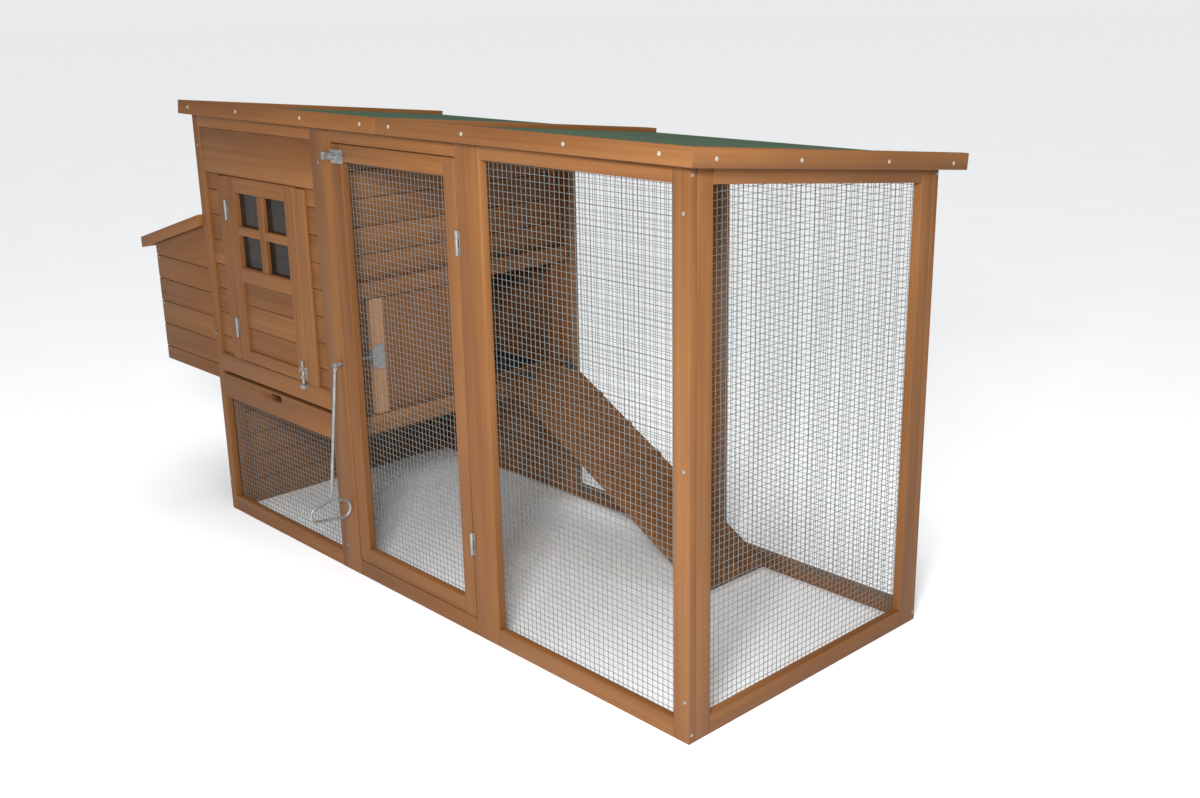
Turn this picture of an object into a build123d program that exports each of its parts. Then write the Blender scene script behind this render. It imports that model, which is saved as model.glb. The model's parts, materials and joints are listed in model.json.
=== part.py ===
from build123d import *

# Chicken coop: a hen house on the left with a nest box on its left end, and a wire run on
# the right and underneath, all under one roof that falls to the back.
# x is measured from the left end of the body, y from the front face and z from the ground.

import os
from math import atan, cos, sin

os.makedirs("parts", exist_ok=True)

# ---- driving dimensions, mm
LENGTH = 1622.0          # body, left end to right end
DEPTH = 690.0            # body, front face to back face
BOARD = 18.0             # frame boards
SLAT = 12.0              # cladding boards
SLAT_PITCH = 61.2
RAIL = 37.0              # height of the frame rails
GAP = 0.4                # hairline between boards that meet
FRAME_TOP = 1016.0
FALL = 0.1035            # roof drop per unit of depth
ROOF_FRONT_Z = 1018.6    # underside of the roof boards at the front face
ROOF_BOARD = 9.0
FELT = 2.0
EAVES_FRONT = 22.0
EAVES_BACK = 60.0
EAVES_SIDE = 26.0
TRIM_DOWN = 11.0         # how far the roof trim hangs below the roof boards
TRIM_UP = 21.0
CAP_PROUD = 1.8          # screw caps on the trim
ROOF_SPLIT = 802.0
HOUSE_BOTTOM = 378.0
DOORWAY_Y = (370.0, 632.0)
DOORWAY_Z = (380.0, 632.0)
WIRE = 0.8
MESH_PITCH = 12.7
NEST_REACH = 290.0
LID_REACH = 338.0
LID_TOP = 768.0
LID_FALL = 0.277
LID_TRIM = 28.0
HANDLE_REACH = 108.8
HINGE_PIN = 1.6
HINGE_BORE = 1.66
KNUCKLE = 3.2
RAMP_FALL = 0.545

TOTAL_LENGTH = LID_REACH + LENGTH + EAVES_SIDE + CAP_PROUD
TOTAL_DEPTH = HANDLE_REACH + DEPTH + EAVES_BACK
LEFT = LID_REACH - TOTAL_LENGTH / 2
FRONT = HANDLE_REACH - TOTAL_DEPTH / 2
TILT = atan(FALL)


# ---- ways to cut and place a board or a rod
def board(x, y, z, mode=Mode.ADD):
    """A square-cut board between two values of x, of y and of z."""
    with BuildSketch(Plane.XY.offset(z[0])) as face:
        with Locations((LEFT + (x[0] + x[1]) / 2, FRONT + (y[0] + y[1]) / 2)):
            Rectangle(x[1] - x[0], y[1] - y[0])
    extrude(face.sketch, amount=z[1] - z[0], mode=mode)


def board_along_x(x, outline, mode=Mode.ADD):
    """A board that keeps one (y, z) outline along x."""
    with BuildSketch(Plane.YZ.offset(LEFT + x[0])) as face:
        with BuildLine():
            Polyline(*[(FRONT + y, z) for y, z in outline], close=True)
        make_face()
    extrude(face.sketch, amount=x[1] - x[0], mode=mode)


def board_along_y(y, outline, mode=Mode.ADD):
    """A board that keeps one (x, z) outline along y."""
    with BuildSketch(Plane.XZ.offset(-FRONT - y[0])) as face:
        with BuildLine():
            Polyline(*[(LEFT + x, z) for x, z in outline], close=True)
        make_face()
    extrude(face.sketch, amount=y[0] - y[1], mode=mode)


def rod_along_x(x, y, z, radius, mode=Mode.ADD):
    with BuildSketch(Plane.YZ.offset(LEFT + x[0])) as face:
        with Locations((FRONT + y, z)):
            Circle(radius)
    extrude(face.sketch, amount=x[1] - x[0], mode=mode)


def rod_along_y(x, y, z, radius, mode=Mode.ADD):
    with BuildSketch(Plane.XZ.offset(-FRONT - y[0])) as face:
        with Locations((LEFT + x, z)):
            Circle(radius)
    extrude(face.sketch, amount=y[0] - y[1], mode=mode)


def rod_along_z(x, y, z, radius, mode=Mode.ADD):
    with BuildSketch(Plane.XY.offset(z[0])) as face:
        with Locations((LEFT + x, FRONT + y)):
            Circle(radius)
    extrude(face.sketch, amount=z[1] - z[0], mode=mode)


def mesh_sheet(plane, outline):
    """Welded mesh inside an outline: the wires one way, and just behind them the other way."""
    low_u = min(u for u, v in outline)
    high_u = max(u for u, v in outline)
    low_v = min(v for u, v in outline)
    high_v = max(v for u, v in outline)
    columns = round((high_u - low_u) / MESH_PITCH)
    rows = round((high_v - low_v) / MESH_PITCH)
    pitch_u = (high_u - low_u - WIRE) / columns
    pitch_v = (high_v - low_v - WIRE) / rows
    middle = ((low_u + high_u) / 2, (low_v + high_v) / 2)
    for layer in (0, 1):
        with BuildSketch(mode=Mode.PRIVATE) as gaps:
            with BuildLine():
                Polyline(*outline, close=True)
            make_face()
            offset(amount=-WIRE, kind=Kind.INTERSECTION, mode=Mode.REPLACE)
            with Locations(middle):
                if layer == 0:
                    with GridLocations(pitch_u, 1, columns - 1, 1):
                        Rectangle(WIRE, high_v - low_v, mode=Mode.SUBTRACT)
                else:
                    with GridLocations(1, pitch_v, 1, rows - 1):
                        Rectangle(high_u - low_u, WIRE, mode=Mode.SUBTRACT)
        with BuildSketch(plane.offset(layer * (WIRE + 0.05))) as face:
            with BuildLine():
                Polyline(*outline, close=True)
            make_face()
            add(gaps.sketch_local, mode=Mode.SUBTRACT)
        extrude(face.sketch, amount=WIRE)


def front_mesh(x, y, z):
    """A sheet of mesh that faces the front, its first layer of wires at y and the next behind."""
    ends = [(LEFT + a, b) for a, b in ((x[0], z[0]), (x[1], z[0]), (x[1], z[1]), (x[0], z[1]))]
    mesh_sheet(Plane((0, FRONT + y, 0), x_dir=(-1, 0, 0), z_dir=(0, 1, 0)),
               [(-u, v) for u, v in ends])


def save(part, name):
    part.part.label = name
    export_step(part.part, f"parts/{name}.step")


def under_roof(y):
    """Height of the roof boards' underside at a depth y, less a hairline."""
    return ROOF_FRONT_Z - FALL * y - GAP


def roof_outline(down, up):
    """(y, z) corners of a roof layer: down the slope from and to, height above the underside."""
    def corner(along, above):
        return (along + above * sin(TILT), ROOF_FRONT_Z - FALL * along + above * cos(TILT))
    return [corner(down[0], up[0]), corner(down[1], up[0]), corner(down[1], up[1]),
            corner(down[0], up[1])]


POSTS = {"left": (0, 25), "house": (525, 600), "run": (1028, 1100), "right": (1585, 1622)}
BACK_Y = (DEPTH - BOARD, DEPTH)
INSIDE_Y = (BOARD + GAP, DEPTH - BOARD - GAP)
BACK_TOP = under_roof(DEPTH)
LINK_X = 580.0
LINK_Z = 498.0

# ---- front frame
with BuildPart() as front_posts:
    for post in ("left", "run", "right"):
        board(POSTS[post], (0, BOARD), (0, FRAME_TOP))
save(front_posts, "front_posts")

with BuildPart() as house_post:
    board(POSTS["house"], (0, BOARD), (0, FRAME_TOP))
    rod_along_y(LINK_X, (0, BOARD), LINK_Z, 6.5, mode=Mode.SUBTRACT)
save(house_post, "house_post")

BAYS = ((25, 525), (600, 1028), (1100, 1585))

with BuildPart() as front_rails:
    for bay in BAYS:
        board((bay[0] + GAP, bay[1] - GAP), (0, BOARD), (980, FRAME_TOP))
        board((bay[0] + GAP, bay[1] - GAP), (0, BOARD), (0, RAIL))
save(front_rails, "front_rails")

# ---- back frame
with BuildPart() as back_posts:
    for post in POSTS.values():
        board_along_x(post, [(BACK_Y[0], 0), (BACK_Y[1], 0), (BACK_Y[1], BACK_TOP),
                             (BACK_Y[0], under_roof(BACK_Y[0]))])
save(back_posts, "back_posts")

with BuildPart() as back_rails:
    for bay in BAYS[1:]:
        board((bay[0] + GAP, bay[1] - GAP), BACK_Y, (0, RAIL))
        board((bay[0] + GAP, bay[1] - GAP), BACK_Y, (BACK_TOP - RAIL, BACK_TOP))
save(back_rails, "back_rails")

with BuildPart() as back_slats:
    for row in range(15):
        low = row * SLAT_PITCH
        board((25 + GAP, 525 - GAP), (BACK_Y[0], BACK_Y[0] + SLAT), (low, low + SLAT_PITCH - 1.5))
save(back_slats, "back_slats")

# ---- left end, with the way into the nest box
NEST_HOLE_Y = (60, 630)
NEST_HOLE_Z = (440, 640)
LEFT_ROWS = [0, 63, 126, 189, 252, 315, 378, 440, 507, 573, 640, 701, 762, 823, 884]

with BuildPart() as left_end_slats:
    for low, high in zip(LEFT_ROWS, LEFT_ROWS[1:]):
        if NEST_HOLE_Z[0] <= low < NEST_HOLE_Z[1]:
            board((0, SLAT), (INSIDE_Y[0], NEST_HOLE_Y[0]), (low, high - 1.5))
            board((0, SLAT), (NEST_HOLE_Y[1], INSIDE_Y[1]), (low, high - 1.5))
        else:
            board((0, SLAT), INSIDE_Y, (low, high - 1.5))
    board_along_x((0, SLAT), [(INSIDE_Y[0], 884), (INSIDE_Y[1], 884),
                              (INSIDE_Y[1], under_roof(INSIDE_Y[1])),
                              (INSIDE_Y[0], under_roof(INSIDE_Y[0]))])
save(left_end_slats, "left_end_slats")

# ---- right end frame
RIGHT_X = (LENGTH - BOARD, LENGTH)
RIGHT_OPEN_Y = (55.0, 635.0)

with BuildPart() as right_end_stiles:
    for y in ((INSIDE_Y[0], RIGHT_OPEN_Y[0]), (RIGHT_OPEN_Y[1], INSIDE_Y[1])):
        board_along_x(RIGHT_X, [(y[0], 0), (y[1], 0), (y[1], under_roof(y[1])),
                                (y[0], under_roof(y[0]))])
save(right_end_stiles, "right_end_stiles")

with BuildPart() as right_end_rails:
    rail_y = (RIGHT_OPEN_Y[0] + GAP, RIGHT_OPEN_Y[1] - GAP)
    board(RIGHT_X, rail_y, (0, RAIL))
    board_along_x(RIGHT_X, [(rail_y[0], under_roof(rail_y[0]) - RAIL),
                            (rail_y[1], under_roof(rail_y[1]) - RAIL),
                            (rail_y[1], under_roof(rail_y[1])),
                            (rail_y[0], under_roof(rail_y[0]))])
save(right_end_rails, "right_end_rails")

# ---- house front
SLAT_Y = (9.0, 9.0 + SLAT)
HEADER_Y = (2.5, 2.5 + SLAT)
DOOR_X = (130.0, 435.0)
DOOR_Z = (424.0, 872.0)
FRONT_ROWS = [422.4, 468, 529, 590, 651, 711, 772, 833, 873]

with BuildPart() as house_front_slats:
    for low, high in zip(FRONT_ROWS, FRONT_ROWS[1:]):
        board((25 + GAP, DOOR_X[0] - 2), SLAT_Y, (low, high - 1.5))
        board((DOOR_X[1] + 2, 525 - GAP), SLAT_Y, (low, high - 1.5))
    board((25 + GAP, 525 - GAP), HEADER_Y, (873.5, 980 - GAP))
save(house_front_slats, "house_front_slats")

with BuildPart() as house_door_jambs:
    board((90, DOOR_X[0] - 2), (0, SLAT_Y[0] - GAP), (422.4, 870))
    board((DOOR_X[1] + 2, 477), (0, SLAT_Y[0] - GAP), (422.4, 870))
save(house_door_jambs, "house_door_jambs")

with BuildPart() as house_bottom_rail:
    board((25 + GAP, 525 - GAP), (0, BOARD), (HOUSE_BOTTOM, 422))
save(house_bottom_rail, "house_bottom_rail")

# ---- wall between the house and the run
WALL_X = (551.0, 563.0)
WALL_ROWS = [380, 443, 506, 569, 632, 665, 726, 787, 849, 910]

with BuildPart() as partition_slats:
    board(WALL_X, INSIDE_Y, (323, 378.5))
    for low, high in zip(WALL_ROWS, WALL_ROWS[1:]):
        back = DOORWAY_Y[0] if low < DOORWAY_Z[1] else 634 - GAP
        board(WALL_X, (INSIDE_Y[0], back), (low, high - 1.5))
    board_along_x(WALL_X, [(INSIDE_Y[0], 910), (634 - GAP, 910), (634 - GAP, under_roof(634)),
                           (INSIDE_Y[0], under_roof(INSIDE_Y[0]))])
    board_along_x(WALL_X, [(634, 380), (INSIDE_Y[1], 380), (INSIDE_Y[1], under_roof(INSIDE_Y[1])),
                           (634, under_roof(634))])
save(partition_slats, "partition_slats")

with BuildPart() as house_battens:
    for y in ((22, 50), (640, 671)):
        board((SLAT + GAP, POSTS["left"][1]), y, (0, 930))
    for y in ((22, 50), (335, 368), (640, 671)):
        board_along_x((WALL_X[0] - 14, WALL_X[0] - GAP),
                      [(y[0], 323), (y[1], 323), (y[1], under_roof(y[1])), (y[0], under_roof(y[0]))])
save(house_battens, "house_battens")

TRACK_LIP_X = (578.0, 590.0)
TRACK_Y = (40.0, 668.0)

with BuildPart() as pop_door_tracks:
    board((WALL_X[1] + GAP, TRACK_LIP_X[0] - GAP), TRACK_Y, (322, 344))
    board(TRACK_LIP_X, TRACK_Y, (322, 363))
    board((WALL_X[1] + GAP, TRACK_LIP_X[0] - GAP), TRACK_Y, (650, 670))
    board(TRACK_LIP_X, TRACK_Y, (632, 670))
save(pop_door_tracks, "pop_door_tracks")

# ---- fittings inside the house
with BuildPart() as tray_runners:
    board((SLAT + GAP, 46), (51, 639), (298, 316))
    board((505, WALL_X[0] - 14 - GAP), (52, 638), (298, 316))
save(tray_runners, "tray_runners")

with BuildPart() as perch:
    board((SLAT + GAP, 42), (330, 362), (522, 551))
    board((500, WALL_X[0] - 14 - GAP), (330, 362), (522, 551))
    board((SLAT + GAP, WALL_X[0] - 14 - GAP), (330, 362), (551.4, 573))
save(perch, "perch")

# ---- welded mesh
MESH_LAP = 8.0
with BuildPart() as house_lower_mesh:
    front_mesh((25 - MESH_LAP, 525 + MESH_LAP), BOARD + 0.2, (RAIL - MESH_LAP, 306))
save(house_lower_mesh, "house_lower_mesh")

with BuildPart() as run_front_mesh:
    front_mesh((1100 - MESH_LAP, 1585 + MESH_LAP), BOARD + 0.2, (RAIL - MESH_LAP, 980 + MESH_LAP))
save(run_front_mesh, "run_front_mesh")

with BuildPart() as run_back_mesh:
    for bay in BAYS[1:]:
        front_mesh((bay[0] - MESH_LAP, bay[1] + MESH_LAP), BACK_Y[0] - 2.2,
                   (RAIL - MESH_LAP, BACK_TOP - RAIL + MESH_LAP))
save(run_back_mesh, "run_back_mesh")

with BuildPart() as run_end_mesh:
    end_y = (RIGHT_OPEN_Y[0] - MESH_LAP, RIGHT_OPEN_Y[1] + MESH_LAP)
    end_top = [under_roof(y) - RAIL + MESH_LAP for y in end_y]
    mesh_sheet(Plane((LEFT + RIGHT_X[0] - 2.2, 0, 0), x_dir=(0, 1, 0), z_dir=(1, 0, 0)),
               [(FRONT + end_y[0], RAIL - MESH_LAP), (FRONT + end_y[1], RAIL - MESH_LAP),
                (FRONT + end_y[1], end_top[1]), (FRONT + end_y[0], end_top[0])])
save(run_end_mesh, "run_end_mesh")

# ---- roof
ROOF_X = (-EAVES_SIDE, LENGTH + EAVES_SIDE)
ROOF_HALVES = ((ROOF_X[0], ROOF_SPLIT - GAP / 2), (ROOF_SPLIT + GAP / 2, ROOF_X[1]))
FRONT_TRIM = (-EAVES_FRONT + 1.2, -EAVES_FRONT + 1.2 + BOARD)
ROOF_BACK = DEPTH + EAVES_BACK - TRIM_UP * sin(TILT)
BACK_TRIM = (ROOF_BACK - BOARD, ROOF_BACK)
ROOF_INSIDE = (FRONT_TRIM[1] + GAP, BACK_TRIM[0] - GAP)
BEHIND_FRONT_TRIM = (FRONT_TRIM[1] + GAP, ROOF_BACK)

with BuildPart() as roof_boards:
    for half in ROOF_HALVES:
        board_along_x((half[0] + BOARD + GAP, half[1] - BOARD - GAP),
                      roof_outline(ROOF_INSIDE, (0, ROOF_BOARD)))
save(roof_boards, "roof_boards")

with BuildPart() as roof_felt:
    for half in ROOF_HALVES:
        board_along_x((half[0] + BOARD + GAP, half[1] - BOARD - GAP),
                      roof_outline(BEHIND_FRONT_TRIM, (ROOF_BOARD + 0.1, ROOF_BOARD + FELT)))
save(roof_felt, "roof_felt")



def trim_on_roof(corners):
    """Trim with square faces, from its (x, y) corners where it crosses the boards' underside."""
    roof_plane = Plane((LEFT, FRONT, ROOF_FRONT_Z), x_dir=(1, 0, 0), z_dir=(0, sin(TILT), cos(TILT)))
    with BuildSketch(roof_plane.offset(-TRIM_DOWN)) as face:
        with BuildLine():
            Polyline(*[(x, y / cos(TILT)) for x, y in corners], close=True)
        make_face()
    extrude(face.sketch, amount=TRIM_DOWN + TRIM_UP)


with BuildPart() as roof_trim:
    for outer, inner, inwards in ((ROOF_X[0], ROOF_HALVES[0][1], 1), (ROOF_X[1], ROOF_HALVES[1][0], -1)):
        mitre = outer + inwards * BOARD
        trim_on_roof([(outer + inwards * GAP, FRONT_TRIM[0]), (inner, FRONT_TRIM[0]),
                      (inner, FRONT_TRIM[1]), (mitre + inwards * GAP, FRONT_TRIM[1])])
        trim_on_roof([(outer, FRONT_TRIM[0]), (mitre, FRONT_TRIM[1]), (mitre, ROOF_BACK),
                      (outer, ROOF_BACK)])
    for half in ROOF_HALVES:
        board_along_x((half[0] + BOARD + GAP, half[1] - BOARD - GAP),
                      roof_outline(BACK_TRIM, (-TRIM_DOWN, ROOF_BOARD)))
    for x in (ROOF_SPLIT - GAP / 2 - BOARD, ROOF_SPLIT + GAP / 2):
        board_along_x((x, x + BOARD), roof_outline(BEHIND_FRONT_TRIM, (0, TRIM_UP)))
save(roof_trim, "roof_trim")

CAP_RADIUS = 3.9
CAP_HEIGHT = 6.0         # above the roof boards' underside
with BuildPart() as roof_screw_caps:
    cap_y, cap_z = roof_outline(FRONT_TRIM, (CAP_HEIGHT, TRIM_UP))[0]
    for x in (25, 253, 525, 750, 849, 1078, 1354, 1576):
        with BuildSketch(Plane((LEFT + x, FRONT + cap_y, cap_z), x_dir=(1, 0, 0),
                               z_dir=(0, -cos(TILT), sin(TILT)))):
            Circle(CAP_RADIUS)
        extrude(amount=CAP_PROUD)
    for y, z in ((33, 1019), (242, 997), (489, 971), (698, 948)):
        rod_along_x((ROOF_X[1], ROOF_X[1] + CAP_PROUD), y, z, CAP_RADIUS)
save(roof_screw_caps, "roof_screw_caps")

# ---- nest box
NEST_Y = (5.0, 685.0)
NEST_ROWS = [350, 387, 449, 510.5, 571.5, 632.5]
NEST_BOTTOM = NEST_ROWS[0]


def under_lid(x):
    """Height of the nest box walls' top at x, which is negative outwards."""
    return LID_TOP - LID_TRIM + LID_FALL * x


with BuildPart() as nest_side_slats:
    for y in ((NEST_Y[0], NEST_Y[0] + SLAT), (NEST_Y[1] - SLAT, NEST_Y[1])):
        for low, high in zip(NEST_ROWS, NEST_ROWS[1:]):
            board((-NEST_REACH, -GAP), y, (low, high - 1.5))
        board_along_y(y, [(-NEST_REACH, NEST_ROWS[-1]), (-GAP, NEST_ROWS[-1]),
                          (-GAP, under_lid(0)), (-NEST_REACH, under_lid(-NEST_REACH))])
save(nest_side_slats, "nest_side_slats")

NEST_IN_Y = (NEST_Y[0] + SLAT + GAP, NEST_Y[1] - SLAT - GAP)
with BuildPart() as nest_end_slats:
    for low, high in zip(NEST_ROWS, NEST_ROWS[1:]):
        board((-NEST_REACH, -NEST_REACH + SLAT), NEST_IN_Y, (low, high - 1.5))
    board((-NEST_REACH, -NEST_REACH + SLAT), NEST_IN_Y, (NEST_ROWS[-1], under_lid(-NEST_REACH)))
save(nest_end_slats, "nest_end_slats")

NEST_IN_X = (-NEST_REACH + SLAT + GAP, -GAP)
with BuildPart() as nest_floor:
    board(NEST_IN_X, NEST_IN_Y, (NEST_BOTTOM, NEST_BOTTOM + SLAT))
save(nest_floor, "nest_floor")

with BuildPart() as nest_divider:
    board((NEST_IN_X[0], -GAP - 1), (339, 351), (NEST_BOTTOM + SLAT + GAP, 560))
save(nest_divider, "nest_divider")

with BuildPart() as nest_corner_battens:
    for x in (-NEST_REACH + SLAT + GAP, -20 - GAP):
        for y in (NEST_IN_Y[0] + GAP, NEST_IN_Y[1] - 20 - GAP):
            board((x, x + 20), (y, y + 20), (NEST_BOTTOM + SLAT + GAP, 640))
save(nest_corner_battens, "nest_corner_battens")

# ---- nest box lid
LID_Y = (-12.0, 702.0)


def lid_outline(x, down, up):
    """(x, z) corners of a lid layer between two x, measured down and up from the trim's top."""
    return [(x[0], LID_TOP + LID_FALL * x[0] - down), (x[1], LID_TOP + LID_FALL * x[1] - down),
            (x[1], LID_TOP + LID_FALL * x[1] - up), (x[0], LID_TOP + LID_FALL * x[0] - up)]


LID_IN_X = (-LID_REACH + BOARD + GAP, -2 - GAP)
with BuildPart() as nest_lid_board:
    board_along_y((LID_Y[0] + 16 + GAP, LID_Y[1] - 16 - GAP), lid_outline(LID_IN_X, LID_TRIM - 4, 9))
save(nest_lid_board, "nest_lid_board")

with BuildPart() as nest_lid_felt:
    board_along_y((LID_Y[0] + 16 + GAP, LID_Y[1] - 16 - GAP), lid_outline(LID_IN_X, 8.9, 7))
save(nest_lid_felt, "nest_lid_felt")

with BuildPart() as nest_lid_trim:
    board_along_y((LID_Y[0], LID_Y[0] + 16), lid_outline((-LID_REACH, -2), LID_TRIM, 0))
    board_along_y((LID_Y[1] - 16, LID_Y[1]), lid_outline((-LID_REACH, -2), LID_TRIM, 0))
    board_along_y((LID_Y[0] + 16 + GAP, LID_Y[1] - 16 - GAP),
                  lid_outline((-LID_REACH, -LID_REACH + BOARD), LID_TRIM, 0))
save(nest_lid_trim, "nest_lid_trim")


# ---- hinges: each has a pin and two knuckles on the fixed leaf, one knuckle on the moving one
LEAF = 1.2
LEAF_WIDTH = 6.0         # from the pin to the leaf's outer edge
HOUSE_HINGE = (128.6, -KNUCKLE - 0.4)
RUN_HINGE = (1026.8, -KNUCKLE - 0.4)
HOUSE_HINGE_Z = (482, 767)
RUN_HINGE_Z = (181, 795)
HINGE_HEIGHT = 48.0


def fixed_leaf(pivot, z, side):
    """The leaf on the frame; side is -1 when the frame lies to the left of the pin."""
    x, y = pivot
    inner, outer = sorted((x + side * KNUCKLE * 0.4, x + side * LEAF_WIDTH))
    board((inner, outer), (-LEAF - 0.1, -0.1), (z, z + HINGE_HEIGHT))
    for low, high in ((0.3, 15.7), (32.3, 47.7)):
        rod_along_z(x, y, (z + low, z + high), KNUCKLE)
    inner, outer = sorted((x - side * 4, x + side * 4))
    board((inner, outer), (-7, -0.09), (z + 15.7, z + 32.3), mode=Mode.SUBTRACT)
    rod_along_z(x, y, (z, z + HINGE_HEIGHT), HINGE_PIN)


def moving_leaf(pivot, z, side):
    """The leaf on the door; side is 1 when the door lies to the right of the pin."""
    x, y = pivot
    inner, outer = sorted((x + side * KNUCKLE * 0.4, x + side * LEAF_WIDTH))
    board((inner, outer), (-LEAF - 0.1, -0.1), (z + 16, z + 32))
    inner, outer = sorted((x + side * 4.4, x + side * LEAF_WIDTH))
    board((inner, outer), (-LEAF - 0.1, -0.1), (z, z + HINGE_HEIGHT))
    rod_along_z(x, y, (z + 16, z + 32), KNUCKLE)
    rod_along_z(x, y, (z + 16, z + 32), HINGE_BORE, mode=Mode.SUBTRACT)


with BuildPart() as door_hinge_fixed_leaves:
    for z in HOUSE_HINGE_Z:
        fixed_leaf(HOUSE_HINGE, z, -1)
    for z in RUN_HINGE_Z:
        fixed_leaf(RUN_HINGE, z, 1)
save(door_hinge_fixed_leaves, "door_hinge_fixed_leaves")

with BuildPart() as house_door_hinge_leaves:
    for z in HOUSE_HINGE_Z:
        moving_leaf(HOUSE_HINGE, z, 1)
save(house_door_hinge_leaves, "house_door_hinge_leaves")

with BuildPart() as run_door_hinge_leaves:
    for z in RUN_HINGE_Z:
        moving_leaf(RUN_HINGE, z, -1)
save(run_door_hinge_leaves, "run_door_hinge_leaves")

LID_HINGE = (-4.0, LID_TOP + 4.0)
LID_HINGE_Y = (140.0, 500.0)
with BuildPart() as lid_hinge_fixed_leaves:
    for y in LID_HINGE_Y:
        rod_along_y(LID_HINGE[0], (y, y + 15), LID_HINGE[1], KNUCKLE)
        rod_along_y(LID_HINGE[0], (y + 33, y + 48), LID_HINGE[1], KNUCKLE)
        rod_along_y(LID_HINGE[0], (y - 0.5, y + 48.5), LID_HINGE[1], HINGE_PIN)
        for low, high in ((0, 15), (33, 48)):
            board((-1.3, -0.1), (y + low, y + high), (LID_HINGE[1] - 1, LID_HINGE[1] + 20))
        board((-1.3, -0.1), (y + 14, y + 34), (LID_HINGE[1] + 5, LID_HINGE[1] + 20))
save(lid_hinge_fixed_leaves, "lid_hinge_fixed_leaves")

with BuildPart() as lid_hinge_moving_leaves:
    for y in LID_HINGE_Y:
        rod_along_y(LID_HINGE[0], (y + 15.4, y + 32.6), LID_HINGE[1], KNUCKLE)
        board_along_y((y + 15.4, y + 32.6), lid_outline((-24, LID_HINGE[0] - 2.4), -0.3, -1.7))
        rod_along_y(LID_HINGE[0], (y + 15.4, y + 32.6), LID_HINGE[1], HINGE_BORE, mode=Mode.SUBTRACT)
save(lid_hinge_moving_leaves, "lid_hinge_moving_leaves")

# ---- house door
with BuildPart() as house_door_frame:
    board((DOOR_X[0] + 0.5, 170), (0, BOARD), DOOR_Z)
    board((394, DOOR_X[1] - 0.5), (0, BOARD), DOOR_Z)
    for z in ((836, DOOR_Z[1]), (623, 657), (DOOR_Z[0], 452)):
        board((170 + GAP, 394 - GAP), (0, BOARD), z)
save(house_door_frame, "house_door_frame")

with BuildPart() as house_door_slats:
    for low in (452.4, 509.4, 566.4):
        board((170 + GAP, 394 - GAP), (6, BOARD - 2), (low, low + 55.6))
save(house_door_slats, "house_door_slats")

with BuildPart() as window_bars:
    board((269, 294), (1, 13), (657 + GAP, 836 - GAP))
    for x in ((170 + GAP, 269 - GAP), (294 + GAP, 394 - GAP)):
        board(x, (1, 13), (736, 756))
save(window_bars, "window_bars")

with BuildPart() as window_pane:
    board((170 + GAP, 394 - GAP), (13.4, 15.4), (657 + GAP, 836 - GAP))
save(window_pane, "window_pane")

BOLT_Y = -5.6
with BuildPart() as house_bolt_base:
    board((411, 437 - 2.6), (-1.3, -0.1), (435, 461))
    for z in ((435, 440), (456, 461)):
        board((418, 430), (-9.6, -1.3), z)
        rod_along_z(424, BOLT_Y, z, 3.1, mode=Mode.SUBTRACT)
save(house_bolt_base, "house_bolt_base")

with BuildPart() as house_bolt:
    rod_along_z(424, BOLT_Y, (421.6, 476), 2.8)
    rod_along_y(424, (-15, BOLT_Y), 453.8, 1.6)
save(house_bolt, "house_bolt")

with BuildPart() as bolt_keepers:
    board((416, 432), (-9.6, -0.1), (410, 420))
    rod_along_z(424, BOLT_Y, (410, 420), 3.1, mode=Mode.SUBTRACT)
    board((581, 591), (-9.6, -0.1), (944, 960))
    rod_along_x((581, 591), BOLT_Y, 952, 3.1, mode=Mode.SUBTRACT)
save(bolt_keepers, "bolt_keepers")

# ---- run door
RUN_DOOR_X = (602.0, 1025.6)
RUN_DOOR_Z = (39.0, 978.0)
with BuildPart() as run_door_frame:
    board((RUN_DOOR_X[0], 640), (0, BOARD), RUN_DOOR_Z)
    board((989, RUN_DOOR_X[1]), (0, BOARD), RUN_DOOR_Z)
    for z in ((RUN_DOOR_Z[0], 73), (942, RUN_DOOR_Z[1])):
        board((640 + GAP, 989 - GAP), (0, BOARD), z)
save(run_door_frame, "run_door_frame")

with BuildPart() as run_door_mesh:
    front_mesh((640 - MESH_LAP, 989 + MESH_LAP), BOARD + 0.2, (73 - MESH_LAP, 942 + MESH_LAP))
save(run_door_mesh, "run_door_mesh")

with BuildPart() as run_bolt_base:
    board((604, 648), (-1.3, -0.1), (938, 966))
    for x in ((606, 612), (638, 644)):
        board(x, (-9.6, -1.3), (946, 958))
        rod_along_x(x, BOLT_Y, 952, 3.1, mode=Mode.SUBTRACT)
save(run_bolt_base, "run_bolt_base")

with BuildPart() as run_bolt:
    rod_along_x((592.2, 656), BOLT_Y, 952, 2.8)
    rod_along_y(627, (-15, BOLT_Y), 952, 2)
save(run_bolt, "run_bolt")

# ---- droppings tray
TRAY_X = (32.0, 518.0)
TRAY_Y = (BOARD + GAP, 660.0)
SHEET = 1.0
TRAY_Z = (317.0, 350.0)
with BuildPart() as tray_pan:
    board(TRAY_X, TRAY_Y, (TRAY_Z[0], TRAY_Z[0] + SHEET))
    wall_z = (TRAY_Z[0] + SHEET + 0.1, TRAY_Z[1])
    for x in ((TRAY_X[0], TRAY_X[0] + SHEET), (TRAY_X[1] - SHEET, TRAY_X[1])):
        board(x, TRAY_Y, wall_z)
    for y in ((TRAY_Y[0], TRAY_Y[0] + SHEET), (TRAY_Y[1] - SHEET, TRAY_Y[1])):
        board((TRAY_X[0] + SHEET + 0.1, TRAY_X[1] - SHEET - 0.1), y, wall_z)
save(tray_pan, "tray_pan")

with BuildPart() as tray_front:
    board((26, 524), (0, BOARD), (309, 369))
    with BuildSketch(Plane.XZ.offset(-FRONT)):
        with Locations((LEFT + 280, 356)):
            SlotOverall(50, 17)
    extrude(amount=-BOARD, mode=Mode.SUBTRACT)
save(tray_front, "tray_front")

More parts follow.
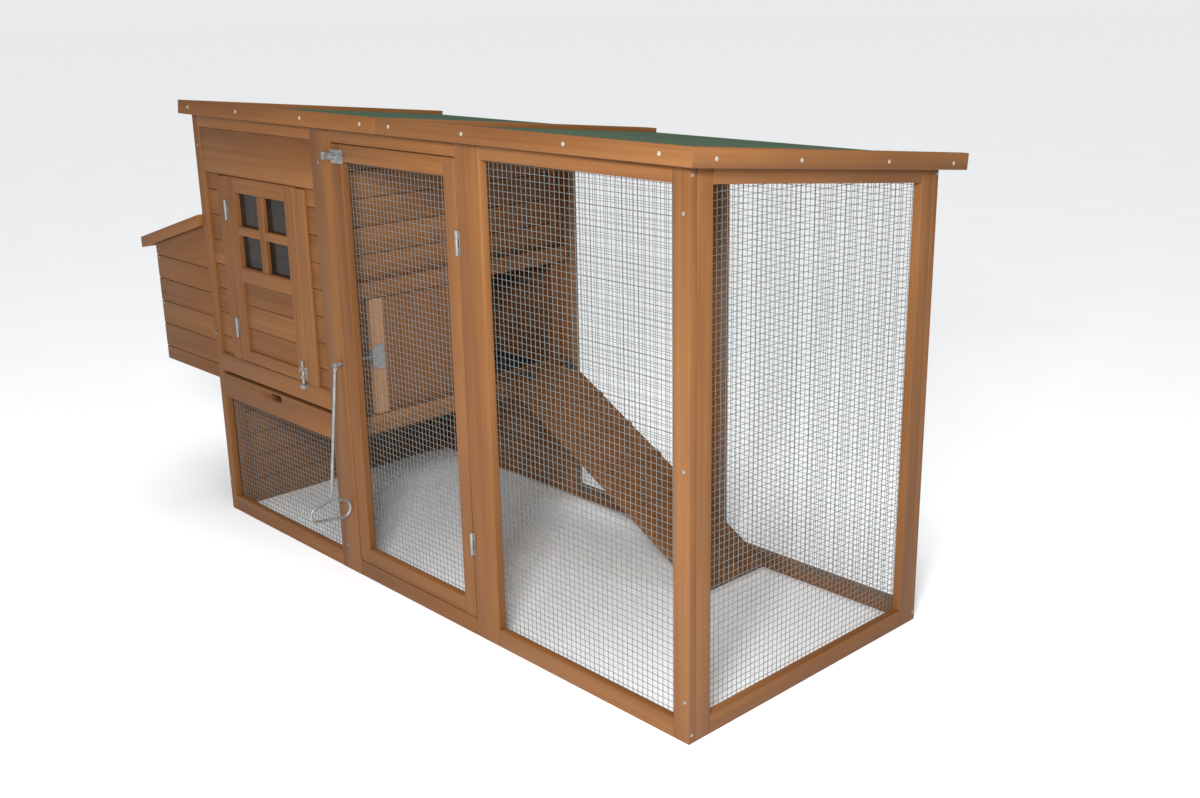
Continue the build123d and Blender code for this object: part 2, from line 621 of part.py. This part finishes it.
# ---- sliding pop door, its batten, and the link rod that goes out through the post
POP_X = (564.2, 572.0)
with BuildPart() as pop_door_panel:
    board(POP_X, (79, 362), (346, 647))
save(pop_door_panel, "pop_door_panel")

with BuildPart() as pop_door_batten:
    board((POP_X[1] + GAP, 588), (79, 113), (365, 630))
save(pop_door_batten, "pop_door_batten")

LINK_TIP = -15.0
with BuildPart() as pop_door_link:
    board((588.2, 590.2), (81, 108), (470, 525))
    board((576, 590.2), (76.5, 78.5), (480, 516))
    board((588.2, 590.2), (76.5, 81), (480, 516))
    rod_along_y(LINK_X, (-4, 78), LINK_Z, 3.5)
    board((578.4, 581.6), (LINK_TIP - 5, -3), (LINK_Z - 4, LINK_Z + 4))
    board((578.4, 581.6), (LINK_TIP - 5, LINK_TIP), (LINK_Z - 1.9, LINK_Z + 1.9), mode=Mode.SUBTRACT)
    rod_along_x((578.4, 581.6), LINK_TIP, LINK_Z, 1.9, mode=Mode.SUBTRACT)
save(pop_door_link, "pop_door_link")

# ---- pull handle: a fork and cross pin at the top, a rod, and a loop that rests on the post
HANDLE_RADIUS = 3.5
HANDLE_LEAN = 0.12
HANDLE_ROD = 306.0
LOOP_SIZE = (108.0, 52.0)
LOOP_BAR = 7.0
CHEEK = (2.2, 6.0)

handle_pivot = (LEFT + LINK_X, FRONT + LINK_TIP, LINK_Z)
handle_side = Plane(handle_pivot, x_dir=(0, cos(HANDLE_LEAN), -sin(HANDLE_LEAN)), z_dir=(1, 0, 0))
handle_down = Plane(handle_pivot, x_dir=(1, 0, 0), z_dir=(0, -sin(HANDLE_LEAN), -cos(HANDLE_LEAN)))

with BuildPart() as pull_handle:
    for offset_x in (-CHEEK[1], CHEEK[0]):
        with BuildSketch(handle_side.offset(offset_x)):
            with Locations((0, -6)):
                SlotOverall(20, 8, rotation=90)
        extrude(amount=CHEEK[1] - CHEEK[0])
    with BuildSketch(handle_side.offset(-CHEEK[1])):
        Circle(1.6)
        with Locations((0, -14)):
            Rectangle(8, 7)
    extrude(amount=2 * CHEEK[1])
    with BuildSketch(handle_down.offset(14)):
        Circle(HANDLE_RADIUS)
    extrude(amount=HANDLE_ROD - 12)
    with BuildSketch(handle_side.offset(-LOOP_BAR / 2)):
        with Locations((0, -HANDLE_ROD - LOOP_SIZE[1] / 2)):
            RectangleRounded(LOOP_SIZE[0], LOOP_SIZE[1], 24)
            RectangleRounded(LOOP_SIZE[0] - 2 * LOOP_BAR, LOOP_SIZE[1] - 2 * LOOP_BAR, 18,
                             mode=Mode.SUBTRACT)
    extrude(amount=LOOP_BAR)
save(pull_handle, "pull_handle")

# ---- ramp
RAMP_Y = (462.0, 668.0)


def ramp_top(x):
    return 385.0 - RAMP_FALL * (x - 563.0)


RAMP_THICK = 20.0
DROP = RAMP_THICK * (1 + RAMP_FALL ** 2) ** 0.5
foot = 563 + (385 - DROP) / RAMP_FALL
RAMP_TILT = atan(RAMP_FALL)
with BuildPart() as ramp_board:
    board_along_y(RAMP_Y, [(592.6, ramp_top(592.6)), (592.6, ramp_top(592.6) - DROP), (foot, 0),
                           (foot + RAMP_THICK * sin(RAMP_TILT), RAMP_THICK * cos(RAMP_TILT))])
save(ramp_board, "ramp_board")

CLEAT = (14.0, 4.0)      # width along the ramp and height above it
with BuildPart() as ramp_cleats:
    for x in range(695, 1240, 100):
        board_along_y((RAMP_Y[0], RAMP_Y[1]),
                      [(x, ramp_top(x) + 0.1), (x + CLEAT[0], ramp_top(x + CLEAT[0]) + 0.1),
                       (x + CLEAT[0] + CLEAT[1] * sin(RAMP_TILT),
                        ramp_top(x + CLEAT[0]) + CLEAT[1] * cos(RAMP_TILT)),
                       (x + CLEAT[1] * sin(RAMP_TILT), ramp_top(x) + CLEAT[1] * cos(RAMP_TILT))])
save(ramp_cleats, "ramp_cleats")

with BuildPart() as ramp_hooks:
    for y in ((505, 527), (641, 663)):
        board_along_y(y, [(573.6, 359.6), (575.4, 359.6), (575.4, 363.6), (592.8, 363.6 + 7),
                          (614, ramp_top(614) + 0.1), (614, ramp_top(614) + 2.2),
                          (592.8, 373.4), (573.6, 365.8)])
save(ramp_hooks, "ramp_hooks")

# ---- screws that show on the frames
with BuildPart() as frame_screws:
    for x, z in ((14, 937), (8, 470), (6, 82), (552, 935), (552, 60), (1608, 935), (1609, 507), (1612, 80)):
        rod_along_y(x, (-0.9, 0), z, 3.4)
    for y, z in ((7, 995), (7, 17), (683, 928), (683, 18)):
        rod_along_x((LENGTH, LENGTH + 0.9), y, z, 3.4)
    for z in (380, 503, 626):
        rod_along_y(-NEST_REACH + 12, (NEST_Y[0] - 0.9, NEST_Y[0]), z, 3)
save(frame_screws, "frame_screws")
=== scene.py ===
import json
import random
from math import cos, pi, radians, sin

import bmesh
import bpy
from mathutils import Matrix, Vector


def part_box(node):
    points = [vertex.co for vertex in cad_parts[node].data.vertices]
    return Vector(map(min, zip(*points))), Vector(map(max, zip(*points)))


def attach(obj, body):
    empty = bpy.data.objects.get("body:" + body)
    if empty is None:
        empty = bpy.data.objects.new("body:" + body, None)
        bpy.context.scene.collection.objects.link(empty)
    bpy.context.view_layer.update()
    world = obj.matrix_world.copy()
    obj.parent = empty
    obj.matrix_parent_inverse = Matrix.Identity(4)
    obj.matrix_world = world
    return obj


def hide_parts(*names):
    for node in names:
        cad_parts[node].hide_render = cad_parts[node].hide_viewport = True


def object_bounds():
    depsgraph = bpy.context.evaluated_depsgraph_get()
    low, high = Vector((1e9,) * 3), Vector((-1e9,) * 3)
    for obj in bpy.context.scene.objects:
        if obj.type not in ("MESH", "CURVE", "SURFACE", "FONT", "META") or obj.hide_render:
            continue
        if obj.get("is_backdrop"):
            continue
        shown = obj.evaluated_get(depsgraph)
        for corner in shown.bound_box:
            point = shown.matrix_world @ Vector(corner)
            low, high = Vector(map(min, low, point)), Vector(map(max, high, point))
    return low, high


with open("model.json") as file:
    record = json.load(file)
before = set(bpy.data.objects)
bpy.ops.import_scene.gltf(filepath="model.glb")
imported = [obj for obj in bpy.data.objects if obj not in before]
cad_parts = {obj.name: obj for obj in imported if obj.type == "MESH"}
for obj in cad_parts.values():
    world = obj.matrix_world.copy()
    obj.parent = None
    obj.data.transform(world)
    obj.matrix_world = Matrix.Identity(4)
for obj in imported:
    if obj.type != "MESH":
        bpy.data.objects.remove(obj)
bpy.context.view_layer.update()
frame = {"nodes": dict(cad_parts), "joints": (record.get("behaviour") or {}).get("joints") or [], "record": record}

SEED = 7
NODES = frame["nodes"]
BODY_OF = {n: body for body, ns in frame["record"]["behaviour"]["bodies"].items() for n in ns}
SLOT_OF = {s["node"]: s["material_slot"] for s in frame["record"]["subparts"]}

# ---------------------------------------------------------------- camera
# placed from the front right bottom corner of the body
posts_low, posts_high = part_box("front_posts")
CORNER = Vector((posts_high.x, posts_low.y, posts_low.z))
CAMERA_FROM_CORNER = Vector((1.391, -1.497, 1.263))
YAW = radians(46.947)
PITCH = radians(17.023)
ROLL = radians(-1.102)

LENS_MM = 39.64
SENSOR_MM = 36

# ---------------------------------------------------------------- sizes and light levels
BOARD_EDGE = 0.0014      # how far the boards' edges are eased
SCREW_SIDES = 24
CROSS_DEPTH = 0.35       # of a screw head's height
HANDLE_BAR = 0.0036      # the pull handle's bar radius
HANDLE_ROD = 0.306       # from the pin down to the loop
BAR_SIDES = 16
EYE_STEPS = 24
FLOOR_SIZE = 60
FLOOR_DROP = 0.0005      # keeps the floor just under the rails
WORLD_LIGHT = 0.12       # for everything but the camera
WORLD_SEEN = 0.82        # matches the far floor, so that no horizon shows
TOP_LIGHT = 2.45
KEY_LIGHT = 118


def make_camera():
    """The photograph's camera: place, tilt and lens as solved from the frame's corners."""
    data = bpy.data.cameras.new("camera")
    data.sensor_width = SENSOR_MM
    data.lens = LENS_MM
    camera = bpy.data.objects.new("camera", data)
    forward = Vector((-sin(YAW) * cos(PITCH), cos(YAW) * cos(PITCH), -sin(PITCH)))
    level = Vector((cos(YAW), sin(YAW), 0))
    upright = level.cross(forward)
    right = cos(ROLL) * level + sin(ROLL) * upright
    up = -sin(ROLL) * level + cos(ROLL) * upright
    turn = Matrix((right, up, -forward)).transposed().to_4x4()
    camera.matrix_world = Matrix.Translation(CORNER + CAMERA_FROM_CORNER) @ turn
    bpy.context.scene.collection.objects.link(camera)
    bpy.context.scene.camera = camera


# ---------------------------------------------------------------- material kit
class Shader:
    """A node material, with short calls for the nodes that this scene uses."""

    def __init__(self, name):
        self.material = bpy.data.materials.new(name)
        self.material.use_nodes = True
        self.tree = self.material.node_tree
        self.bsdf = self.tree.nodes["Principled BSDF"]

    def node(self, kind, **values):
        made = self.tree.nodes.new(kind)
        for key, value in values.items():
            setattr(made, key, value)
        return made

    def link(self, source, target):
        self.tree.links.new(source, target)

    def object_coords(self):
        return self.node("ShaderNodeTexCoord").outputs["Object"]

    def attribute(self, name):
        made = self.node("ShaderNodeAttribute")
        made.attribute_name = name
        return made

    def scaled(self, coords, scale):
        made = self.node("ShaderNodeMapping")
        made.inputs["Scale"].default_value = scale
        self.link(coords, made.inputs["Vector"])
        return made.outputs["Vector"]

    def noise(self, coords, scale, detail=4, rough=0.55, distortion=0):
        made = self.node("ShaderNodeTexNoise")
        made.inputs["Scale"].default_value = scale
        made.inputs["Detail"].default_value = detail
        made.inputs["Roughness"].default_value = rough
        made.inputs["Distortion"].default_value = distortion
        self.link(coords, made.inputs["Vector"])
        return made.outputs["Fac"]

    def voronoi(self, coords, scale):
        made = self.node("ShaderNodeTexVoronoi")
        made.inputs["Scale"].default_value = scale
        self.link(coords, made.inputs["Vector"])
        return made

    def ramp(self, value, stops):
        made = self.node("ShaderNodeValToRGB")
        elements = made.color_ramp.elements
        while len(elements) < len(stops):
            elements.new(0.5)
        for element, (place, colour) in zip(elements, stops):
            element.position = place
            element.color = (*colour, 1)
        self.link(value, made.inputs["Fac"])
        return made.outputs["Color"]

    def mix(self, kind, factor, a, b):
        made = self.node("ShaderNodeMix", data_type="RGBA", blend_type=kind)
        self.put(made.inputs["Factor"], factor)
        self.put(made.inputs["A"], a)
        self.put(made.inputs["B"], b)
        return made.outputs["Result"]

    def math(self, operation, a, b):
        made = self.node("ShaderNodeMath", operation=operation)
        self.put(made.inputs[0], a)
        self.put(made.inputs[1], b)
        return made.outputs[0]

    def spread(self, value, low, high):
        made = self.node("ShaderNodeMapRange")
        made.inputs["To Min"].default_value = low
        made.inputs["To Max"].default_value = high
        self.link(value, made.inputs["Value"])
        return made.outputs["Result"]

    def put(self, socket, value):
        if isinstance(value, bpy.types.NodeSocket):
            self.link(value, socket)
        elif isinstance(value, tuple):
            socket.default_value = (*value, 1)
        else:
            socket.default_value = value

    def bump(self, height, strength, distance):
        made = self.node("ShaderNodeBump")
        made.inputs["Strength"].default_value = strength
        made.inputs["Distance"].default_value = distance
        self.link(height, made.inputs["Height"])
        self.link(made.outputs["Normal"], self.bsdf.inputs["Normal"])

    def set(self, **values):
        for name, value in values.items():
            self.put(self.bsdf.inputs[name.replace("_", " ")], value)
        return self.material


def wood(name, dark, middle, light, knots=True):
    """Stained softwood. Each board carries its own grain directions and tone as attributes."""
    s = Shader(name)
    grain = s.attribute("grain").outputs["Vector"]
    tone = s.attribute("tone").outputs["Fac"]
    figure = s.noise(s.scaled(grain, (1.1, 15, 15)), 1, detail=2, rough=0.45, distortion=0.7)
    streaks = s.noise(s.scaled(grain, (1.6, 90, 90)), 1, detail=2, rough=0.5, distortion=0.3)
    fibre = s.noise(s.scaled(grain, (14, 520, 520)), 1, detail=3, rough=0.6)
    blotch = s.noise(s.scaled(grain, (3.2, 7, 7)), 1, detail=2)
    pattern = s.mix("MIX", 0.42, figure, streaks)
    colour = s.ramp(pattern, [(0.33, dark), (0.50, middle), (0.67, light)])
    streak = s.ramp(fibre, [(0.3, (0.90, 0.88, 0.86)), (0.62, (1.0, 1.0, 1.0))])
    colour = s.mix("MULTIPLY", 0.6, colour, streak)
    uneven = s.ramp(blotch, [(0.3, (0.93, 0.91, 0.89)), (0.7, (1.05, 1.05, 1.05))])
    colour = s.mix("MULTIPLY", 1.0, colour, uneven)
    board = s.ramp(tone, [(0.0, (0.90, 0.88, 0.86)), (1.0, (1.06, 1.07, 1.08))])
    colour = s.mix("MULTIPLY", 1.0, colour, board)
    if knots:
        cells = s.voronoi(s.scaled(grain, (2.1, 8.5, 8.5)), 1)
        knot = s.ramp(cells.outputs["Distance"], [(0.055, (0.42, 0.32, 0.26)), (0.12, (1, 1, 1))])
        rarely = s.noise(s.scaled(grain, (1.1, 3.1, 3.1)), 1, detail=0)
        picked = s.ramp(rarely, [(0.60, (0, 0, 0)), (0.64, (1, 1, 1))])
        colour = s.mix("MULTIPLY", s.math("MULTIPLY", picked, 0.6), colour, knot)
    s.bump(s.mix("MIX", 0.3, fibre, pattern), 0.14, 0.0005)
    return s.set(Base_Color=colour, Roughness=s.spread(fibre, 0.55, 0.70), Specular_IOR_Level=0.30)


def felt(name):
    """Green mineral felt: a mat of crushed slate grains with a few pale and dark ones."""
    s = Shader(name)
    place = s.object_coords()
    grains = s.voronoi(place, 620)
    clumps = s.noise(place, 9, detail=3)
    fine = s.noise(place, 1400, detail=2)
    colour = s.ramp(grains.outputs["Color"], [(0.08, (0.021, 0.050, 0.028)),
                                              (0.5, (0.048, 0.090, 0.050)),
                                              (0.93, (0.11, 0.16, 0.11))])
    patches = s.ramp(clumps, [(0.3, (0.74, 0.78, 0.76)), (0.7, (1.1, 1.1, 1.1))])
    colour = s.mix("MULTIPLY", 0.6, colour, patches)
    s.bump(s.mix("MIX", 0.5, grains.outputs["Distance"], fine), 0.75, 0.0009)
    return s.set(Base_Color=colour, Roughness=s.spread(fine, 0.82, 0.97), Specular_IOR_Level=0.25)


def zinc(name, colour, rough, spangle=90.0, dull=0.35, metal=1.0):
    """Zinc-coated steel: crystals of slightly different brightness under a dull film."""
    s = Shader(name)
    place = s.object_coords()
    crystals = s.voronoi(place, spangle)
    film = s.noise(place, 24, detail=5)
    tint = s.ramp(crystals.outputs["Color"], [(0.0, tuple(c * 0.74 for c in colour)), (1.0, colour)])
    dirt = s.ramp(film, [(0.34, (1 - dull, 1 - dull, 1 - dull)), (0.66, (1, 1, 1))])
    s.bump(s.noise(place, 700, detail=2), 0.12, 0.0004)
    tint = s.mix("MULTIPLY", 0.8, tint, dirt)
    return s.set(Base_Color=tint, Roughness=s.spread(film, rough + 0.12, rough - 0.08), Metallic=metal)


def painted_steel(name, colour):
    """Black hooks with a slightly rough baked coat."""
    s = Shader(name)
    place = s.object_coords()
    wear = s.noise(place, 160, detail=5)
    tint = s.ramp(wear, [(0.45, colour), (0.8, (0.11, 0.105, 0.10))])
    s.bump(s.noise(place, 900, detail=2), 0.2, 0.0003)
    return s.set(Base_Color=tint, Roughness=s.spread(wear, 0.38, 0.6))


def clear_sheet_painted_dark(name):
    """Clear plastic with a faint haze, half see-through and coloured nearly black: painted shade of the unlit
    inside of the house.
    """
    s = Shader(name)
    haze = s.noise(s.object_coords(), 7, detail=3)
    # painted shade: the near-black tint stands in for the unlit inside seen through the pane; the haze only varies
    # it a little
    tint = s.ramp(haze, [(0.3, (0.020, 0.016, 0.012)), (0.7, (0.034, 0.028, 0.022))])
    return s.set(Base_Color=tint, Roughness=s.spread(haze, 0.08, 0.14), Alpha=0.5,
                 Specular_IOR_Level=0.35)


def plastic_cap(name, colour):
    """Cream plastic screw cap."""
    s = Shader(name)
    mottle = s.noise(s.object_coords(), 240, detail=3)
    low = tuple(c * 0.86 for c in colour)
    s.bump(mottle, 0.12, 0.0003)
    tint = s.ramp(mottle, [(0.3, low), (0.7, colour)])
    return s.set(Base_Color=tint, Roughness=s.spread(mottle, 0.4, 0.55))


MATERIALS = {
    "stained_fir": wood("stained_fir", (0.150, 0.057, 0.015), (0.192, 0.078, 0.022),
                        (0.226, 0.098, 0.031)),
    "pale_fir": wood("pale_fir", (0.27, 0.125, 0.050), (0.33, 0.165, 0.070), (0.38, 0.20, 0.092),
                     knots=False),
    "green_felt": felt("green_felt"),
    "zinc": zinc("zinc", (0.37, 0.385, 0.38), 0.44, metal=0.6),
    "mesh_wire": zinc("mesh_wire", (0.22, 0.24, 0.235), 0.50, spangle=260, dull=0.2, metal=0.35),
    "tray_sheet": zinc("tray_sheet", (0.60, 0.62, 0.64), 0.34, spangle=55, dull=0.15),
    "black_steel": painted_steel("black_steel", (0.018, 0.018, 0.019)),
    "clear_pane": clear_sheet_painted_dark("clear_pane"),
    "cream_cap": plastic_cap("cream_cap", (0.32, 0.29, 0.23)),
}


# ---------------------------------------------------------------- mesh helpers
def islands_of(bm):
    """The separate boards or fittings in a mesh, as lists of vertices."""
    left = set(bm.verts)
    found = []
    for start in bm.verts:
        if start not in left:
            continue
        left.discard(start)
        group = [start]
        for vert in group:
            for edge in vert.link_edges:
                other = edge.other_vert(vert)
                if other in left:
                    left.discard(other)
                    group.append(other)
        found.append(group)
    found.sort(key=lambda g: tuple(round(c, 4) for c in sum((v.co for v in g), Vector()) / len(g)))
    return found


def clean_copy(node):
    """A welded copy of a CAD node's mesh with its flat faces joined up."""
    bm = bmesh.new()
    bm.from_mesh(NODES[node].data)
    bmesh.ops.remove_doubles(bm, verts=bm.verts, dist=2e-6)
    bmesh.ops.dissolve_limit(bm, angle_limit=radians(0.5), verts=bm.verts, edges=bm.edges)
    return bm


def board_axes(group):
    """Length, width and thickness directions of a board: its longest edge runs along the grain."""
    edges = {edge for vert in group for edge in vert.link_edges}
    longest = max(edges, key=lambda e: (round(e.calc_length(), 5), round(e.verts[0].co.z, 4)))
    along = (longest.verts[1].co - longest.verts[0].co).normalized()
    if max(along, key=abs) < 0:
        along = -along
    sizes = [(max(v.co[i] for v in group) - min(v.co[i] for v in group), i) for i in range(3)]
    unit = Vector((0, 0, 0))
    unit[min(s for s in sizes if abs(along[s[1]]) < 0.7)[1]] = 1
    across = unit.cross(along).normalized()
    return along, across, along.cross(across)


def finish_object(name, bm, node, smooth=None):
    """Turns a bmesh into a piece that stands for a CAD node and rides on its body."""
    mesh = bpy.data.meshes.new(name)
    bm.to_mesh(mesh)
    bm.free()
    piece = bpy.data.objects.new(name, mesh)
    bpy.context.scene.collection.objects.link(piece)
    mesh.materials.append(MATERIALS[SLOT_OF[node]])
    if smooth:
        mesh.shade_smooth()
        mesh.set_sharp_from_angle(angle=smooth)
    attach(piece, BODY_OF[node])
    return piece


def bevel(piece, width):
    """Eases the sharp edges of a piece."""
    modifier = piece.modifiers.new("edges", "BEVEL")
    modifier.width = width
    modifier.segments = 2
    modifier.limit_method = "ANGLE"
    modifier.angle_limit = radians(30)
    modifier.harden_normals = True
    piece.data.shade_smooth()


def wooden(node):
    """Boards with eased edges. Each has its own stretch of grain and its own tone."""
    rng = random.Random(f"{SEED} {node}")
    bm = clean_copy(node)
    grain = bm.verts.layers.float_vector.new("grain")
    tone = bm.verts.layers.float.new("tone")
    for group in islands_of(bm):
        along, across, deep = board_axes(group)
        shift = Vector(rng.uniform(0, 20) for _ in range(3))
        shade = rng.random()
        for vert in group:
            co = vert.co
            vert[grain] = Vector((co.dot(along), co.dot(across), co.dot(deep))) + shift
            vert[tone] = shade
    piece = finish_object(f"{node}.boards", bm, node)
    bevel(piece, BOARD_EDGE)
    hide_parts(node)


def dome(bm, centre, normal, radius, height):
    """A domed screw head or cap with a cross recess, built on a ring of profile points."""
    side = normal.orthogonal().normalized()
    other = normal.cross(side)
    profile = [(1.0, 0.0), (1.0, 0.35), (0.86, 0.72), (0.6, 0.94), (0.34, 1.0)]
    rings = []
    for out, up in profile:
        ring = []
        for step in range(SCREW_SIDES):
            angle = 2 * pi * step / SCREW_SIDES
            ring.append(bm.verts.new(centre + radius * out * (cos(angle) * side + sin(angle) * other)
                                     + normal * height * up))
        rings.append(ring)
    for low, high in zip(rings, rings[1:]):
        for step in range(SCREW_SIDES):
            after = (step + 1) % SCREW_SIDES
            bm.faces.new((low[step], low[after], high[after], high[step]))
    cross = []
    for step in range(SCREW_SIDES):
        angle = 2 * pi * step / SCREW_SIDES
        arm = 0.32 if step % 6 in (0, 1, 5) else 0.11
        cross.append(bm.verts.new(centre + radius * arm * (cos(angle) * side + sin(angle) * other)
                                  + normal * height * (1.0 - CROSS_DEPTH)))
    for step in range(SCREW_SIDES):
        after = (step + 1) % SCREW_SIDES
        bm.faces.new((rings[-1][step], rings[-1][after], cross[after], cross[step]))
    bm.faces.new(cross)
    bm.faces.new(list(reversed(rings[0])))


def screw_heads(node):
    """Domed heads where the CAD has plain discs."""
    source = clean_copy(node)
    bm = bmesh.new()
    centre_of_all = sum(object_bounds(), Vector()) / 2
    for group in islands_of(source):
        low = Vector(min(v.co[i] for v in group) for i in range(3))
        high = Vector(max(v.co[i] for v in group) for i in range(3))
        faces = {face for vert in group for face in vert.link_faces}
        flat = max(faces, key=lambda f: (round(f.calc_area(), 10), f.calc_center_median().y,
                                         f.calc_center_median().x))
        normal = flat.normal.copy()
        middle = (low + high) / 2
        if normal.dot(middle - centre_of_all) < 0:
            normal = -normal
        reach = sorted(high - low)
        base = min((v.co - middle).dot(normal) for v in group)
        dome(bm, middle + normal * base, normal, reach[1] / 2, -2 * base)
    source.free()
    piece = finish_object(f"{node}.heads", bm, node, smooth=radians(40))
    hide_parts(node)


def fitting(node):
    """A fitting, felt, pane or mesh sheet: it keeps its CAD shape and gets its material."""
    piece = NODES[node]
    piece.data.materials.clear()
    piece.data.materials.append(MATERIALS[SLOT_OF[node]])


# ---------------------------------------------------------------- the pull handle
def rounded(points, steps=6):
    """A Catmull-Rom curve through the points, so that the bar has no sharp turns."""
    line = []
    for i in range(len(points) - 1):
        a, b, c = points[max(i - 1, 0)], points[i], points[i + 1]
        d = points[min(i + 2, len(points) - 1)]
        for step in range(steps):
            t = step / steps
            line.append(0.5 * (2 * b + (c - a) * t + (2 * a - 5 * b + 4 * c - d) * t ** 2
                               + (3 * b - a - 3 * c + d) * t ** 3))
    return line + [points[-1]]


def round_bar(name, points, radius, node, closed=False):
    """A round bar along a line of points, of the same thickness at every bend."""
    bm = bmesh.new()
    count = len(points)
    side = None
    rings = []
    for i, point in enumerate(points):
        before = points[i - 1] if i or closed else point
        after = points[(i + 1) % count] if i + 1 < count or closed else point
        along = (after - before).normalized()
        side = along.orthogonal() if side is None else side - along * side.dot(along)
        side.normalize()
        other = along.cross(side)
        rings.append([bm.verts.new(point + radius * (cos(2 * pi * k / BAR_SIDES) * side
                                                     + sin(2 * pi * k / BAR_SIDES) * other))
                      for k in range(BAR_SIDES)])
    pairs = list(zip(rings, rings[1:]))
    if closed:
        pairs.append((rings[-1], rings[0]))
    for low, high in pairs:
        for k in range(BAR_SIDES):
            after = (k + 1) % BAR_SIDES
            bm.faces.new((low[k], low[after], high[after], high[k]))
    if not closed:
        bm.faces.new(list(reversed(rings[0])))
        bm.faces.new(rings[-1])
    piece = finish_object(name, bm, node, smooth=radians(50))
    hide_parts(node)


def pull_handle():
    """Round bar: a rod from the pin, then one bend into a wide loop that leans on the post."""
    joint = next(j for j in frame["joints"] if j["name"] == "pull_handle_pivot")
    pivot = Vector(joint["pos_m"])
    lean = 0.12
    down = Vector((0, -sin(lean), -cos(lean)))
    out = Vector((0, -cos(lean), sin(lean)))

    def at(outwards, below):
        return pivot + out * outwards + down * (HANDLE_ROD + below)

    corners = [(0, 0.0005), (0.020, 0.0085), (0.038, 0.0150), (0.0495, 0.0230), (0.0500, 0.0370),
               (0.0440, 0.0465), (0.030, 0.0480), (-0.028, 0.0480), (-0.042, 0.0450),
               (-0.0495, 0.0350), (-0.0500, 0.0220), (-0.044, 0.0110), (-0.031, 0.0055),
               (-0.014, 0.0050)]
    bar = [pivot + down * 0.0165, at(0, -0.03)] + rounded([at(*c) for c in corners])
    round_bar("pull_handle.bar", bar, HANDLE_BAR, "pull_handle")
    for side, word in ((-1, "left"), (1, "right")):
        eye = pivot + Vector((side * 0.0041, 0, 0))
        turns = [2 * pi * i / EYE_STEPS for i in range(EYE_STEPS)]
        ring = [eye + 0.0031 * (cos(a) * out + sin(a) * down) for a in turns]
        round_bar(f"pull_handle.eye_{word}", ring, 0.0017, "pull_handle", closed=True)
        leg = [eye + down * 0.0040, eye + down * 0.0105,
               pivot + Vector((side * 0.0018, 0, 0)) + down * 0.0145, pivot + down * 0.0175]
        round_bar(f"pull_handle.leg_{word}", leg, 0.0019, "pull_handle")
    pin = [pivot + Vector((x, 0, 0)) for x in (-0.0058, 0, 0.0058)]
    round_bar("pull_handle.pin", pin, 0.0014, "pull_handle")


# ---------------------------------------------------------------- floor and light
def floor():
    """A plain pale floor, wide enough that its far edge never shows."""
    bm = bmesh.new()
    bmesh.ops.create_grid(bm, x_segments=8, y_segments=8, size=FLOOR_SIZE)
    mesh = bpy.data.meshes.new("floor")
    bm.to_mesh(mesh)
    bm.free()
    ground = bpy.data.objects.new("floor", mesh)
    ground.location.z = -FLOOR_DROP
    bpy.context.scene.collection.objects.link(ground)
    s = Shader("floor")
    speck = s.noise(s.object_coords(), 3, detail=4)
    tint = s.ramp(speck, [(0.3, (0.915, 0.93, 0.945)), (0.7, (0.935, 0.95, 0.965))])
    mesh.materials.append(s.set(Base_Color=tint, Roughness=s.spread(speck, 0.8, 0.9),
                                Specular_IOR_Level=0.1))
    ground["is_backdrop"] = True


def lamp(kind, name, place, target, power):
    """A light at a place, pointed at a target."""
    data = bpy.data.lights.new(name, kind)
    data.energy = power
    made = bpy.data.objects.new(name, data)
    made.location = place
    made.rotation_euler = (Vector(target) - Vector(place)).to_track_quat("-Z", "Y").to_euler()
    bpy.context.scene.collection.objects.link(made)
    return data


def lights():
    """White surroundings, a broad soft light from above and a soft key light beside the camera."""
    world = bpy.data.worlds.new("world")
    world.use_nodes = True
    tree = world.node_tree
    background = tree.nodes["Background"]
    background.inputs["Color"].default_value = (1, 1, 1, 1)
    seen = tree.nodes.new("ShaderNodeLightPath").outputs["Is Camera Ray"]
    strength = tree.nodes.new("ShaderNodeMapRange")
    strength.inputs["To Min"].default_value = WORLD_LIGHT
    strength.inputs["To Max"].default_value = WORLD_SEEN
    tree.links.new(seen, strength.inputs["Value"])
    tree.links.new(strength.outputs["Result"], background.inputs["Strength"])
    bpy.context.scene.world = world
    sky = lamp("SUN", "top", (0, 0, 5), (0.0, 0.02, 0), TOP_LIGHT)
    sky.angle = radians(60)
    eye = CORNER + CAMERA_FROM_CORNER
    key = lamp("AREA", "key", eye + Vector((-0.20, -0.25, 0.45)),
               CORNER + Vector((-0.75, 0.25, 0.40)), KEY_LIGHT)
    key.shape = "RECTANGLE"
    key.size = 0.7
    key.size_y = 0.5


# ---------------------------------------------------------------- make it all
bpy.context.scene.view_settings.view_transform = "Standard"
make_camera()
floor()
lights()

for node, slot in sorted(SLOT_OF.items()):
    if slot in ("stained_fir", "pale_fir"):
        wooden(node)
    elif node in ("frame_screws", "roof_screw_caps"):
        screw_heads(node)
    elif node != "pull_handle":
        fitting(node)
pull_handle()
